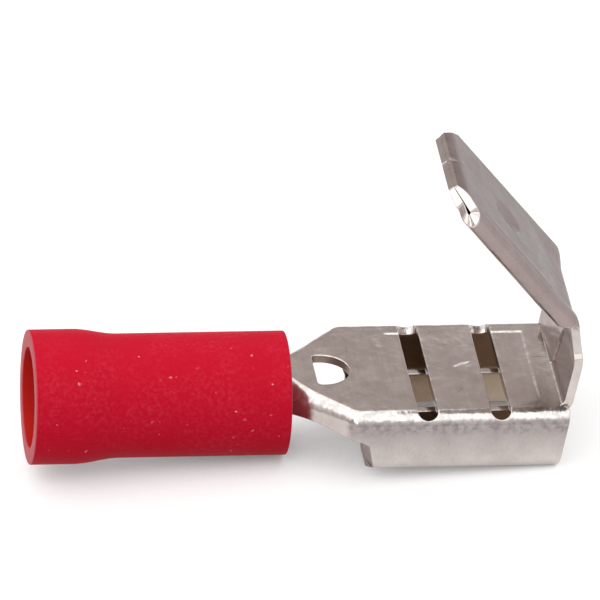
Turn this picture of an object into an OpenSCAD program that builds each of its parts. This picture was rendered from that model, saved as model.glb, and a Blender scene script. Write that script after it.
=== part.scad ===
// Piggyback spade terminal: one folded sheet of plated brass in a vinyl sleeve.
// A wire is crimped in the barrel, a tab pushes into the receptacle, and a second tab branches off above it.
// Origin: centre of the wire entry, on the barrel axis. +X runs to the receptacle mouth, +Z to the second tab.

/* [Sheet] */
// Thickness of the plated brass sheet
sheet_t = 0.35; // [0.25:0.01:0.38]
// Inside radius of the bends along the receptacle
bend_r = 0.25; // [0.1:0.05:0.4]

/* [Sleeve] */
// Length of the sleeve
sleeve_l = 10; // [9:0.1:14]
// Outside diameter over the barrel
sleeve_od = 4.82; // [4.6:0.02:5.1]
// Outside diameter at the wire entry
entry_od = 5.24; // [5.14:0.02:6]
// Length of the wide wire entry
entry_l = 1.7; // [0.5:0.1:3]
// Length of the taper from the wire entry to the body
entry_taper_l = 1.8; // [0.5:0.1:3]
// Bore for the insulation of the wire
wire_bore = 3.9; // [3:0.05:4.2]
// Length of the funnel from the wire bore to the barrel
funnel_l = 0.6; // [0.3:0.1:1.5]
// Rounding of the sleeve's rims
rim_r = 0.05; // [0.03:0.01:0.18]
// Gap all round between the sleeve and the metal
sleeve_gap = 0.02; // [0.01:0.01:0.05]

/* [Barrel] */
// Bore for the bare conductor
barrel_bore = 1.8; // [1.4:0.05:2.1]
// Length of the closed barrel
barrel_l = 5.5; // [4:0.1:6]
// Distance from the front of the barrel to the front of the sleeve
barrel_set = 0.7; // [0.2:0.05:0.9]
// Gap of the butted seam under the barrel
seam_gap = 0.06; // [0.02:0.01:0.2]

/* [Neck] */
// Length of the neck from the barrel to the receptacle
neck_l = 3.25; // [3:0.05:5]
// Depth of the neck's lower edges below the barrel axis
neck_drop = 0.15; // [0:0.01:0.3]
// Rise of those edges in the middle of the neck
neck_arch = 0.16; // [0:0.01:0.3]
// Width of the window
window_w = 2.2; // [1.4:0.05:2.6]
// Length of the window
window_l = 1.35; // [0.8:0.05:1.5]
// Distance from the window's round end to the receptacle
window_set = 0.06; // [0.02:0.01:0.3]

/* [Receptacle] */
// Outside width across the rails
recept_w = 7.4; // [6.9:0.05:8]
// Outside height
recept_h = 2.5; // [2.2:0.05:3]
// Length from the neck to the mouth
recept_l = 8.15; // [7.8:0.05:10]
// Height of the floor's outer face above the barrel axis
floor_rise = 1; // [0.8:0.05:1.3]
// Free gap between the floor and the rolled lips
lip_gap = 0.6; // [0.5:0.05:0.9]
// Space between the two lips
lip_space = 2.3; // [1.6:0.1:3.4]
// Set-back of the rails' rear ends at the bottom
rear_slant = 0.28; // [0.02:0.02:0.6]
// Set-back of the mouth at the bottom
mouth_slant = 0.38; // [0:0.02:0.6]
// Chamfer of the rails' rear ends
rear_chamfer = 0.26; // [0.1:0.02:0.32]

/* [Floor] */
// Width of each cross slot
slot_w = 0.76; // [0.4:0.02:1]
// Distance from the receptacle's rear to the first slot
slot_first = 2.6; // [2:0.05:2.9]
// Distance between the two slots
slot_pitch = 2.85; // [2.4:0.05:3.2]
// Angle that each slot's end reaches round the bend
slot_wrap = 55; // [45:1:75]
// Length of the pressed panel
panel_l = 6.17; // [5.4:0.01:6.4]
// Width of the pressed panel
panel_w = 5.4; // [4:0.1:5.6]
// Distance from the receptacle's rear to the pressed panel
panel_set = 0.9; // [0.4:0.05:1.1]
// Depth of the pressed panel
panel_d = 0.05; // [0.02:0.01:0.1]
// Width of the slope round the pressed panel
panel_slope = 0.14; // [0.05:0.01:0.3]
// Diameter of the catch dimple
catch_d = 0.9; // [0.6:0.05:1.2]
// Depth of the catch dimple
catch_depth = 0.12; // [0.05:0.01:0.18]
// Distance from the receptacle's rear to the catch dimple
catch_set = 4.35; // [3.8:0.05:4.5]

/* [Riser] */
// Distance from the riser's corner to the mouth
riser_set = 0.2; // [0.1:0.01:0.4]
// Distance on each side from the riser's edge to the start of the tab's folds
riser_relief = 0.05; // [0.03:0.01:0.4]
// Length of the riser's lower leg, between its corners
riser_lower = 1.84; // [1.2:0.02:2.6]
// Length of the riser's upper leg, between its corners
riser_upper = 1.68; // [1.2:0.02:2.6]
// Angle of the lower leg above the floor
riser_lean = 80; // [70:0.5:88]
// Angle of the upper leg above the floor
riser_back = 99; // [92:1:110]
// Inside radius of the bend at the foot
foot_r = 0.2; // [0.1:0.05:0.6]
// Inside radius of the bend between the legs
knee_r = 2; // [0.5:0.1:3]
// Inside radius of the bend under the tab
head_r = 0.3; // [0.1:0.05:0.6]

/* [Tab] */
// Width of the tab
tab_w = 6.3; // [6:0.05:6.4]
// Thickness of the doubled tab
tab_t = 0.8; // [0.77:0.01:0.84]
// Length of the tab
tab_l = 7.4; // [6.4:0.05:9]
// Angle of the tab above the floor, over the receptacle
tab_tilt = 50.4; // [30:0.2:65]
// Gap of the seam between the folded wings
wing_gap = 0.08; // [0.02:0.01:0.2]
// Offset of that seam from the tab's centre line
wing_seam = 0.55; // [-1:0.05:1]
// Width of the corner chamfers at the tip
tip_chamfer = 1.15; // [0.4:0.05:1.6]
// Angle of those chamfers to the tip's end
tip_angle = 48; // [30:1:60]
// Lean of those chamfers away from the outer face
tip_lean = 5; // [0:1:30]
// Length of the tip's lead-in slopes
tip_slope_l = 0.35; // [0.1:0.05:0.8]
// Thickness of the tip's end
tip_t = 0.42; // [0.3:0.02:0.7]
// Diameter of the detent dimple
detent_d = 1.6; // [1:0.05:2]
// Depth of the detent dimple
detent_depth = 0.15; // [0.05:0.01:0.2]
// Distance from the tip to the detent dimple
detent_set = 3.55; // [2.6:0.05:4]

/* [Hidden] */
$fn = 64;

// How far cutters run past what they cut
over = 1;
// Overlap where two stretches of the same sheet join
lap = 0.2;
// How far each flat runs into a bend, and how much thicker the bend is on each face to take it in
flat_lap = 0.02;
bend_swell = 0.002;
// The neck lies this far inside the skins of the barrel and receptacle that it runs into
neck_inset = 0.015;
// Rings along the neck, and steps round each of its bends
neck_rings = 18;
bend_steps = 8;
// Share of the neck that eases out of the barrel, that eases into the receptacle, and by which its top is flat
ease_in = 0.3;
ease_out = 0.1;
flat_by = 0.55;
// Steps along the sleeve's taper
taper_steps = 10;

barrel_r = barrel_bore / 2 + sheet_t;
neck_x = sleeve_l - barrel_set;
barrel_x = neck_x - barrel_l;
recept_x = neck_x + neck_l;
mouth_x = recept_x + recept_l;
bend_out = sheet_t + bend_r;
floor_under = floor_rise - sheet_t;
rail_bottom = floor_rise - recept_h;
bend_y = recept_w / 2 - bend_out;
bend_z = floor_rise - bend_out;

fold_gap = tab_t - 2 * sheet_t;
riser_w = tab_w - tab_t - 2 * riser_relief;
foot_x = mouth_x - riser_set - foot_r * tan(riser_lean / 2);
tab_turn = 180 - tab_tilt;
knee_leg = knee_r * tan((riser_back - riser_lean) / 2);
head_leg = head_r * tan((tab_turn - riser_back) / 2);

// Folded runs of sheet, each step being [flat length, inside bend radius, bend angle]
rail_steps = [
    [bend_y, bend_r, 90],
    [recept_h - 2 * bend_out, bend_r, 90],
    [recept_w / 2 - lip_space / 2 - 2 * bend_out, bend_r, 90],
    [floor_under - lip_gap - rail_bottom - bend_out, 0, 0],
];
riser_steps = [
    [lap, foot_r, riser_lean],
    [riser_lower - foot_r * tan(riser_lean / 2) - knee_leg, knee_r, riser_back - riser_lean],
    [riser_upper - knee_leg - head_leg, head_r, tab_turn - riser_back],
];
function wing_steps(seam) = [
    [tab_w / 2 - tab_t / 2, fold_gap / 2, 180],
    [tab_w / 2 - tab_t / 2 - seam - wing_gap / 2, 0, 0],
];

// Radius of the ball that presses a dimple of a given diameter and depth
function dimple_r(d, depth) = (d * d / 4 + depth * depth) / (2 * depth);

function mix(a, b, s) = a + (b - a) * s;

// Share of the neck's widening reached at u, from 0 at the barrel to 1 at the receptacle, and its slope
ease_gain = 1 / (1 - ease_in / 2 - ease_out / 2);
function widening(u) =
    u < ease_in ? ease_gain * u * u / (2 * ease_in) :
    u < 1 - ease_out ? ease_gain * (u - ease_in / 2) :
    1 - ease_gain * (1 - u) * (1 - u) / (2 * ease_out);
function widening_slope(u) = ease_gain * min(u / ease_in, 1, (1 - u) / ease_out);

// Half width, corner radius and top of the neck's channel at u
function neck_half(u) = mix(barrel_r, recept_w / 2, widening(u));
function neck_corner(u) = mix(barrel_r - neck_inset, bend_out, 1 - (1 - u) * (1 - u));
function neck_top(u) =
    let (s = min(1, u / flat_by))
    mix(barrel_r, floor_rise, s * s * (3 - 2 * s));
// Height of its lower edges
function neck_edge(u) = neck_arch * pow(sin(180 * u), 2) - neck_drop;
// Width across the neck's sloping flank that keeps the sheet at its thickness
function flank_t(u) =
    let (slope = (recept_w / 2 - barrel_r) * widening_slope(u) / neck_l)
    sheet_t * sqrt(1 + slope * slope);
// Greatest distance of the neck's skin from the barrel axis at u
function neck_reach(u) =
    let (r = neck_corner(u))
    max(norm([neck_half(u) - r, neck_top(u) - r]) + r, norm([neck_half(u), neck_edge(u)]));

// Half of a channel section, from its lower edge up to the flat on top
function half_section(half, r, top, edge) = concat(
    [[half, edge]],
    [for (k = [0:bend_steps])
        let (a = 90 * k / bend_steps)
        [half - r + r * cos(a), top - r + r * sin(a)]]
);
function flip(points) = [for (p = points) [-p[0], p[1]]];
function reverse(list) = [for (k = [len(list) - 1:-1:0]) list[k]];
function neck_ring(u) =
    let (
        half = neck_half(u),
        r = neck_corner(u),
        top = neck_top(u),
        edge = neck_edge(u),
        skin = half_section(half - neck_inset, r - neck_inset, top - neck_inset, edge),
        inside = half_section(
            half - flank_t(u) + neck_inset,
            r - sheet_t + neck_inset,
            top - sheet_t + neck_inset,
            edge
        )
    )
    concat(skin, reverse(flip(skin)), flip(inside), reverse(inside));

// Sector of a bend that turns left, about a centre above the sheet
module bend_sector(inside_r, angle) {
    outside_r = inside_r + sheet_t;
    translate([0, outside_r])
        intersection() {
            difference() {
                circle(outside_r + bend_swell);
                circle(inside_r - bend_swell);
            }
            polygon(concat(
                [[0, 0]],
                [for (k = [0:3]) 2 * outside_r * [sin(k * angle / 3), -cos(k * angle / 3)]]
            ));
        }
}

// Moves its children to where the sheet goes on after one step
module after_step(step) {
    translate([step[0], sheet_t + step[1]])
        rotate(step[2])
            translate([0, -sheet_t - step[1]])
                children();
}

// Moves its children to the end of a folded run
module after_run(steps, i = 0) {
    if (i < len(steps))
        after_step(steps[i]) after_run(steps, i + 1) children();
    else
        children();
}

// Section of a folded run of sheet
module sheet_run(steps, i = 0) {
    bent = steps[i][2] > 0;
    translate([-flat_lap, 0]) square([flat_lap + steps[i][0] + (bent ? flat_lap : 0), sheet_t]);
    if (bent)
        translate([steps[i][0], 0]) bend_sector(steps[i][1], steps[i][2]);
    if (i + 1 < len(steps))
        after_step(steps[i]) sheet_run(steps, i + 1);
}

// Rolled barrel with its butted seam underneath
module barrel() {
    difference() {
        translate([barrel_x, 0, 0])
            rotate([0, 90, 0])
                difference() {
                    cylinder(h = barrel_l, r = barrel_r);
                    translate([0, 0, -over]) cylinder(h = barrel_l + 2 * over, d = barrel_bore);
                }
        translate([barrel_x - over, -seam_gap / 2, -barrel_r - over])
            cube([barrel_l + 2 * over, seam_gap, barrel_r + over]);
    }
}

// D-shaped window, flat towards the barrel
module window() {
    intersection() {
        union() {
            circle(d = window_w);
            translate([-window_l, -window_w / 2]) square([window_l, window_w]);
        }
        translate([window_w / 2 - window_l, -window_w]) square([window_l, 2 * window_w]);
    }
}

// Neck that opens from the round barrel to the flat receptacle
module neck() {
    stations = concat([-lap / neck_l], [for (k = [0:neck_rings]) k / neck_rings], [1 + lap / neck_l]);
    rings = [for (u = stations) neck_ring(max(0, min(1, u)))];
    count = len(rings[0]);
    last = len(rings) - 1;
    points = [for (i = [0:last]) for (p = rings[i]) [neck_x + stations[i] * neck_l, p[0], p[1]]];
    sides = [for (i = [0:last - 1]) for (j = [0:count - 1])
        let (k = (j + 1) % count)
        [i * count + j, (i + 1) * count + j, (i + 1) * count + k, i * count + k]];
    strip = [for (j = [0:count / 2 - 2]) [j, j + 1, count - 2 - j, count - 1 - j]];
    far_strip = [for (q = strip) reverse([for (j = q) last * count + j])];
    quads = concat(strip, sides, far_strip);
    faces = [for (q = quads) each [[q[0], q[1], q[2]], [q[0], q[2], q[3]]]];
    difference() {
        polyhedron(points = points, faces = faces);
        translate([recept_x - window_set - window_w / 2, 0, 0])
            linear_extrude(height = barrel_r + over) window();
    }
}

// Cutter for one cross slot, whose round ends run down into the bends
module floor_slot() {
    tilt = slot_wrap - asin(slot_w / 2 / bend_out);
    translate([-slot_w / 2, -bend_y, 0]) cube([slot_w, 2 * bend_y, bend_out + over]);
    for (side = [-1, 1])
        translate([0, side * bend_y, 0])
            rotate([-side * tilt, 0, 0]) {
                cylinder(h = bend_out + over, d = slot_w);
                translate([-slot_w / 2, -slot_w / 4 - side * slot_w / 4, 0])
                    cube([slot_w, slot_w / 2, bend_out + over]);
            }
}

// Profile across one direction of the pressed panel, with sloping sides
module panel_profile(length) {
    polygon([
        [0, over],
        [0, 0],
        [panel_slope, -panel_d],
        [length - panel_slope, -panel_d],
        [length, 0],
        [length, over],
    ]);
}

// Cutter for the pressed panel
module panel() {
    intersection() {
        rotate([90, 0, 0])
            linear_extrude(height = 2 * panel_w, center = true) panel_profile(panel_l);
        translate([-over, -panel_w / 2, 0])
            rotate([90, 0, 90])
                linear_extrude(height = panel_l + 2 * over) panel_profile(panel_w);
    }
}

// Outline that the rails' rear ends and the mouth are cut to, seen from the side
module rail_side() {
    polygon([
        [0, floor_rise + over],
        [0, -neck_drop],
        [rear_slant, rail_bottom],
        [rear_slant, rail_bottom - over],
        [recept_l - mouth_slant, rail_bottom - over],
        [recept_l - mouth_slant, rail_bottom],
        [recept_l, floor_rise],
        [recept_l, floor_rise + over],
    ]);
}

// Cutter for the chamfers on the rails' rear ends, below the neck's flanks
module rear_ends() {
    lean = atan2(rear_slant, -neck_drop - rail_bottom);
    for (side = [0, 1])
        mirror([0, side, 0])
            translate([0, recept_w / 2, -neck_drop])
                rotate([0, -lean, 0])
                    translate([0, 0, -lap / 2 - recept_h])
                        linear_extrude(height = recept_h)
                            polygon([
                                [rear_chamfer + over, over],
                                [-over, -rear_chamfer - over],
                                [-over, over],
                            ]);
}

// Receptacle: floor, side walls and the two rolled rails
module receptacle() {
    catch_r = dimple_r(catch_d, catch_depth);
    catch_z = floor_rise - panel_d - catch_depth + catch_r;
    translate([recept_x, 0, 0])
        difference() {
            union() {
                intersection() {
                    rotate([90, 0, 90])
                        linear_extrude(height = recept_l)
                            for (side = [0, 1])
                                mirror([side, 0])
                                    translate([0, floor_rise]) mirror([0, 1]) sheet_run(rail_steps);
                    rotate([90, 0, 0])
                        linear_extrude(height = recept_w + 2 * over, center = true) rail_side();
                }
                intersection() {
                    translate([catch_set, 0, catch_z]) sphere(catch_r + sheet_t);
                    translate([0, -bend_y, floor_under - over])
                        cube([recept_l, 2 * bend_y, over + sheet_t / 2]);
                }
            }
            for (i = [0, 1])
                translate([slot_first + i * slot_pitch, 0, bend_z]) floor_slot();
            translate([panel_set, 0, floor_rise]) panel();
            rear_ends();
            translate([catch_set, 0, catch_z]) sphere(catch_r);
            translate([foot_x - recept_x, -riser_w / 2 - lap / 2, floor_under - lip_gap / 2])
                cube([recept_l, riser_w + lap, lip_gap / 2 + sheet_t + over]);
        }
}

// Section of the doubled tab, with its wings folded under and meeting at the seam
module tab_section() {
    sheet_run(wing_steps(wing_seam));
    mirror([1, 0]) sheet_run(wing_steps(-wing_seam));
}

// Cutter for one corner of the tip, leaning away from the outer face
module tip_corner() {
    translate([tab_l, tab_t / 2, tab_w / 2 - tip_chamfer])
        rotate([0, -tip_angle, 0])
            rotate([0, 0, tip_lean])
                translate([0, -tab_w / 2, -tab_w / 2]) cube(tab_w);
}

// Cutter for the slope on the tip's outer face
module tip_slope() {
    fall = (tab_t - tip_t) / 2;
    polygon([
        [tab_l - tip_slope_l, 0],
        [tab_l - tip_slope_l, -over],
        [tab_l + over, -over],
        [tab_l + over, fall],
        [tab_l, fall],
    ]);
}

// Tab along +X with its outer face at y = 0 and its width along Z
module tab() {
    ball_r = dimple_r(detent_d, detent_depth);
    difference() {
        rotate([0, 90, 0]) linear_extrude(height = tab_l) tab_section();
        for (side = [0, 1]) {
            mirror([0, 0, side]) tip_corner();
            translate([0, side * tab_t, 0])
                mirror([0, side, 0])
                    linear_extrude(height = 2 * tab_w, center = true) tip_slope();
        }
        translate([tab_l - detent_set, detent_depth - ball_r, 0]) sphere(ball_r);
    }
}

// Riser from the floor at the mouth, and the tab that it carries back over the receptacle
module riser_and_tab() {
    translate([foot_x - lap, 0, floor_under])
        rotate([90, 0, 0]) {
            linear_extrude(height = riser_w, center = true)
                sheet_run(concat(riser_steps, [[lap, 0, 0]]));
            after_run(riser_steps) tab();
        }
}

// Conductor: barrel, neck, receptacle, riser and tab in one folded sheet
module terminal() {
    color("#b3aaa6") {
        barrel();
        neck();
        receptacle();
        riser_and_tab();
    }
}

// Square corner to take off a profile so that a quarter round is left
module corner_waste(r) {
    difference() {
        square([r, r]);
        circle(r);
    }
}

// Half section of the sleeve: radius across, distance from the wire entry up
module sleeve_section() {
    entry_r = entry_od / 2;
    body_r = sleeve_od / 2;
    bore_r = barrel_r + sleeve_gap;
    front_r = neck_reach(barrel_set / neck_l) + sleeve_gap;
    difference() {
        polygon(concat(
            [[wire_bore / 2, 0], [entry_r, 0]],
            [for (k = [0:taper_steps])
                let (s = k / taper_steps)
                [mix(entry_r, body_r, (1 - cos(180 * s)) / 2), entry_l + s * entry_taper_l]],
            [[body_r, sleeve_l], [front_r, sleeve_l], [bore_r, neck_x], [bore_r, barrel_x]],
            [[wire_bore / 2, barrel_x - funnel_l]]
        ));
        translate([entry_r - rim_r, rim_r]) mirror([0, 1]) corner_waste(rim_r);
        translate([wire_bore / 2 + rim_r, rim_r]) mirror([1, 0]) mirror([0, 1]) corner_waste(rim_r);
        translate([body_r - rim_r, sleeve_l - rim_r]) corner_waste(rim_r);
    }
}

// Sleeve pushed over the barrel, with a wide entry for the wire
module insulating_sleeve() {
    color("#d01b34")
        rotate([0, 90, 0]) rotate_extrude() sleeve_section();
}

terminal();
insulating_sleeve();
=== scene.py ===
"""Looks of a piggyback spade terminal: one stamped blank of tin-plated brass, folded, in a red vinyl sleeve.

Sizes are in millimetres and are those of the solids; meshes are made in metres, in the same frame.
"""
import logging
import math
from dataclasses import dataclass
from enum import Enum, IntEnum

import bpy
import numpy as np
from mathutils import Matrix, Vector
from mathutils.geometry import delaunay_2d_cdt
from mathutils.kdtree import KDTree


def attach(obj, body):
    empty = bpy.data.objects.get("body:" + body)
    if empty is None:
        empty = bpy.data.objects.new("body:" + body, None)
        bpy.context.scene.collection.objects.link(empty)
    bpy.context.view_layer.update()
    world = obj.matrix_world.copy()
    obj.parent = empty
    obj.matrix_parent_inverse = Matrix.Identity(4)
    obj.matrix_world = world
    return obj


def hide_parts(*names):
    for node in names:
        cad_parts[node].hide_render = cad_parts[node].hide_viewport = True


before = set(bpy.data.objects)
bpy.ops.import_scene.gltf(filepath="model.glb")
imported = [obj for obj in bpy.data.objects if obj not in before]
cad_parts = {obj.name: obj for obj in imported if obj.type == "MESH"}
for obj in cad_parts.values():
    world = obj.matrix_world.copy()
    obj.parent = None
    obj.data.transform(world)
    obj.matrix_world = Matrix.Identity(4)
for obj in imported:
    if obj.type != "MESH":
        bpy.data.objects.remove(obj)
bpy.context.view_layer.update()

log = logging.getLogger("terminal")
MM = 0.001
WHITE = (1.0, 1.0, 1.0, 1.0)
Array = np.ndarray
Socket = bpy.types.NodeSocket
Pair = tuple[float, float]
Triple = tuple[float, float, float]


class Side(Enum):
    """Side of the centre line, seen from the wire entry."""

    LEFT = 1
    RIGHT = -1


class Plate(IntEnum):
    """Finishes of the sheet, in the order of its material slots; the shaded ones are darker copies of the tin
    that carry painted shade.
    """

    BRIGHT = 0
    DULL = 1
    STAINED = 2
    INNER = 3
    SHEARED = 4


class Tube(IntEnum):
    """Surfaces of the vinyl, in the order of the sleeve's material slots."""

    SKIN = 0
    CUT = 1
    BORE = 2


def linear(colour: str) -> tuple[float, float, float, float]:
    """Turn an sRGB hex colour into linear light.

    Args:
        colour: The colour, such as "#c01030".

    Returns:
        Red, green, blue and alpha for a colour socket.
    """
    parts = [int(colour[k:k + 2], 16) / 255 for k in (1, 3, 5)]
    return (*[c / 12.92 if c <= 0.04045 else ((c + 0.055) / 1.055) ** 2.4 for c in parts], 1.0)


def add(
    tree: bpy.types.NodeTree,
    kind: str,
    props: dict | None = None,
    values: dict | None = None,
    links: dict | None = None,
) -> bpy.types.Node:
    """Add a node with its settings and links.

    Args:
        tree: The tree it goes into.
        kind: The node's type.
        props: Properties of the node by name.
        values: Default values of its inputs, by name or number.
        links: Outputs of other nodes that feed its inputs, by name or number.

    Returns:
        The new node.
    """
    node = tree.nodes.new(kind)
    for name, value in (props or {}).items():
        setattr(node, name, value)
    for socket, value in (values or {}).items():
        node.inputs[socket].default_value = value
    for socket, source in (links or {}).items():
        tree.links.new(source, node.inputs[socket])
    return node


def new_material(name: str) -> tuple[bpy.types.Material, bpy.types.Node]:
    """Make an empty node material.

    Args:
        name: What the real material is called.

    Returns:
        The material and its surface shader.
    """
    material = bpy.data.materials.new(name)
    material.use_nodes = True
    material.node_tree.nodes.clear()
    shader = add(material.node_tree, "ShaderNodeBsdfPrincipled")
    add(material.node_tree, "ShaderNodeOutputMaterial", links={"Surface": shader.outputs[0]})
    return material, shader


@dataclass(frozen=True)
class TinPlate:
    """Rolled brass strip, tin plated and then stamped: a soft grey mirror with rolling lines, blotches,
    scratches and a darker upper wall; some finishes add a painted highlight on the bends and painted light at
    the mouth.
    """

    name: str
    plate: str
    dull: str
    stain: str = "#7b6a60"
    darker_grey: str = "#867c7e"
    # Colour of the painted highlight on the crown of the bends
    bend_highlight: str | None = None
    # Colour of painted light, paler towards the mouth where light enters the rails
    front: str | None = None
    rough: Pair = (0.15, 0.27)
    edge: float = 1.0
    line_mm: float = 0.09
    cloud_mm: float = 1.4
    stain_mm: float = 0.45
    blotch_mm: float = 0.26
    scratch_mm: float = 2.6
    handled_mm: float = 1.1
    wave_mm: float = 0.8
    dent_mm: float = 0.24
    grain_mm: float = 0.045

    def material(self) -> bpy.types.Material:
        """Paint the finish in nodes.

        Returns:
            The material.
        """
        material, shader = new_material(self.name)
        tree = material.node_tree
        place = add(tree, "ShaderNodeTexCoord").outputs
        mm = add(
            tree, "ShaderNodeVectorMath", {"operation": "SCALE"}, {"Scale": 1 / MM}, {0: place["Object"]}
        ).outputs[0]
        # The rolls leave lines across the strip, finer than a hair; they are drawn wide enough to show
        rolled = add(
            tree, "ShaderNodeVectorMath", {"operation": "MULTIPLY"}, {1: (1.0, 0.03, 0.6)}, {0: mm}
        ).outputs[0]
        at, facing = (
            add(tree, "ShaderNodeSeparateXYZ", links={0: source}).outputs for source in (mm, place["Normal"])
        )
        value: dict[str, Socket] = {"along": at["X"], "height": at["Z"], "upward": facing["Z"]}
        for name, source in (("aside", at["Y"]), ("lean", facing["Y"])):
            value[name] = add(tree, "ShaderNodeMath", {"operation": "ABSOLUTE"}, links={0: source}).outputs[0]
        for name, source, size, detail in (
            ("lines", rolled, self.line_mm, 3.0),
            ("clouds", mm, self.cloud_mm, 4.0),
            ("spots", mm, self.stain_mm, 5.0),
            ("blotches", mm, self.blotch_mm, 4.0),
            ("handling", mm, self.handled_mm, 2.0),
            ("waves", mm, self.wave_mm, 2.0),
            ("dents", mm, self.dent_mm, 1.0),
            ("grain", mm, self.grain_mm, 2.0),
        ):
            value[name] = add(
                tree, "ShaderNodeTexNoise", values={"Scale": 1 / size, "Detail": detail, "Roughness": 0.6},
                links={"Vector": source},
            ).outputs["Fac"]
        value["cracks"] = add(
            tree, "ShaderNodeTexVoronoi", {"feature": "DISTANCE_TO_EDGE"}, {"Scale": 1 / self.scratch_mm},
            {"Vector": mm},
        ).outputs["Distance"]
        # Each share goes from one level to another while its signal goes from low to high, and is held beyond
        for name, signal, low, high, first, last in (
            ("clouded", "clouds", 0.35, 0.7, 0.0, 1.0),
            ("stained", "spots", 0.64, 0.8, 0.0, 0.5),
            ("under_crown", "height", 0.58, 0.8, 1.0, 0.0),
            ("on_bend", "height", 0.1, 0.42, 0.0, 1.0),
            ("up_wall", "height", -1.0, 0.3, 0.0, 0.6),
            ("outside", "aside", 3.3, 3.5, 0.0, 1.0),
            ("near_bend", "aside", 2.95, 3.3, 0.15, 1.0),
            ("blotched", "blotches", 0.44, 0.6, 0.0, 0.8),
            # The next five shares pick the crown of the bends by which way it faces, for the painted highlight,
            # in patches
            ("unblotched", "blotches", 0.4, 0.56, 1.0, 0.1),
            ("tilted", "lean", 0.08, 0.24, 0.0, 1.0),
            ("not_upright", "lean", 0.78, 0.88, 1.0, 0.0),
            ("facing_up", "upward", 0.2, 0.4, 0.0, 1.0),
            ("below_riser", "height", 1.02, 1.06, 1.0, 0.0),
            # Painted light, paler towards the mouth where light enters the rails
            ("lit_at_mouth", "along", 15.8, 17.8, 0.0, 1.0),
            ("hairline", "cracks", 0.002, 0.007, 1.0, 0.0),
            ("handled", "handling", 0.57, 0.64, 0.0, 0.5),
            ("lined", "lines", 0.3, 0.7, 0.93, 1.0),
            ("rough", "spots", 0.3, 0.7, *self.rough),
        ):
            value[name] = add(
                tree, "ShaderNodeMapRange",
                values={"From Min": low, "From Max": high, "To Min": first, "To Max": last},
                links={"Value": value[signal]},
            ).outputs[0]
        for name, first, *others in (
            # Folding blotches the outside of the long bends darker and dents it a little; the outside walls are
            # darker towards their top
            ("darker_upper_wall", "under_crown", "outside", "up_wall"),
            ("rubbed_bend", "under_crown", "outside", "on_bend", "blotched"),
            ("dented", "dents", "near_bend"),
            # A painted highlight lies white on the crown of the bends, where they face up and aside, in patches
            ("painted_highlight", "tilted", "not_upright", "facing_up", "below_riser", "unblotched"),
            # Handling leaves hairline scratches, a few to a face
            ("scratched", "hairline", "handled"),
        ):
            value[name] = value[first]
            for other in others:
                value[name] = add(
                    tree, "ShaderNodeMath", {"operation": "MULTIPLY"}, links={0: value[name], 1: value[other]}
                ).outputs[0]
        tone = add(
            tree, "ShaderNodeMix", {"data_type": "RGBA"}, {6: linear(self.plate), 7: linear(self.dull)},
            {0: value["clouded"]},
        ).outputs[2]
        for name, colour in (
            ("stained", self.stain),
            ("darker_upper_wall", self.darker_grey),
            ("rubbed_bend", self.darker_grey),
            ("painted_highlight", self.bend_highlight),
            ("lit_at_mouth", self.front),
            ("scratched", self.stain),
        ):
            if colour:
                tone = add(
                    tree, "ShaderNodeMix", {"data_type": "RGBA"}, {7: linear(colour)}, {0: value[name], 6: tone}
                ).outputs[2]
        tone = add(
            tree, "ShaderNodeVectorMath", {"operation": "SCALE"}, links={0: tone, "Scale": value["lined"]}
        ).outputs[0]
        normal: dict[str, Socket] = {}
        for name, strength, depth in (
            ("waves", 0.4, 0.06), ("dented", 0.6, 0.03), ("lines", 0.25, 0.004), ("grain", 0.25, 0.003)
        ):
            bump = add(
                tree, "ShaderNodeBump", values={"Strength": strength, "Distance": depth * MM},
                links={"Height": value[name], **normal},
            )
            normal = {"Normal": bump.outputs[0]}
        shader.inputs["Metallic"].default_value = 1.0
        shader.inputs["Specular Tint"].default_value = (self.edge, self.edge, self.edge, 1.0)
        for socket, source in (("Base Color", tone), ("Roughness", value["rough"]), *normal.items()):
            tree.links.new(source, shader.inputs[socket])
        return material


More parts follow.
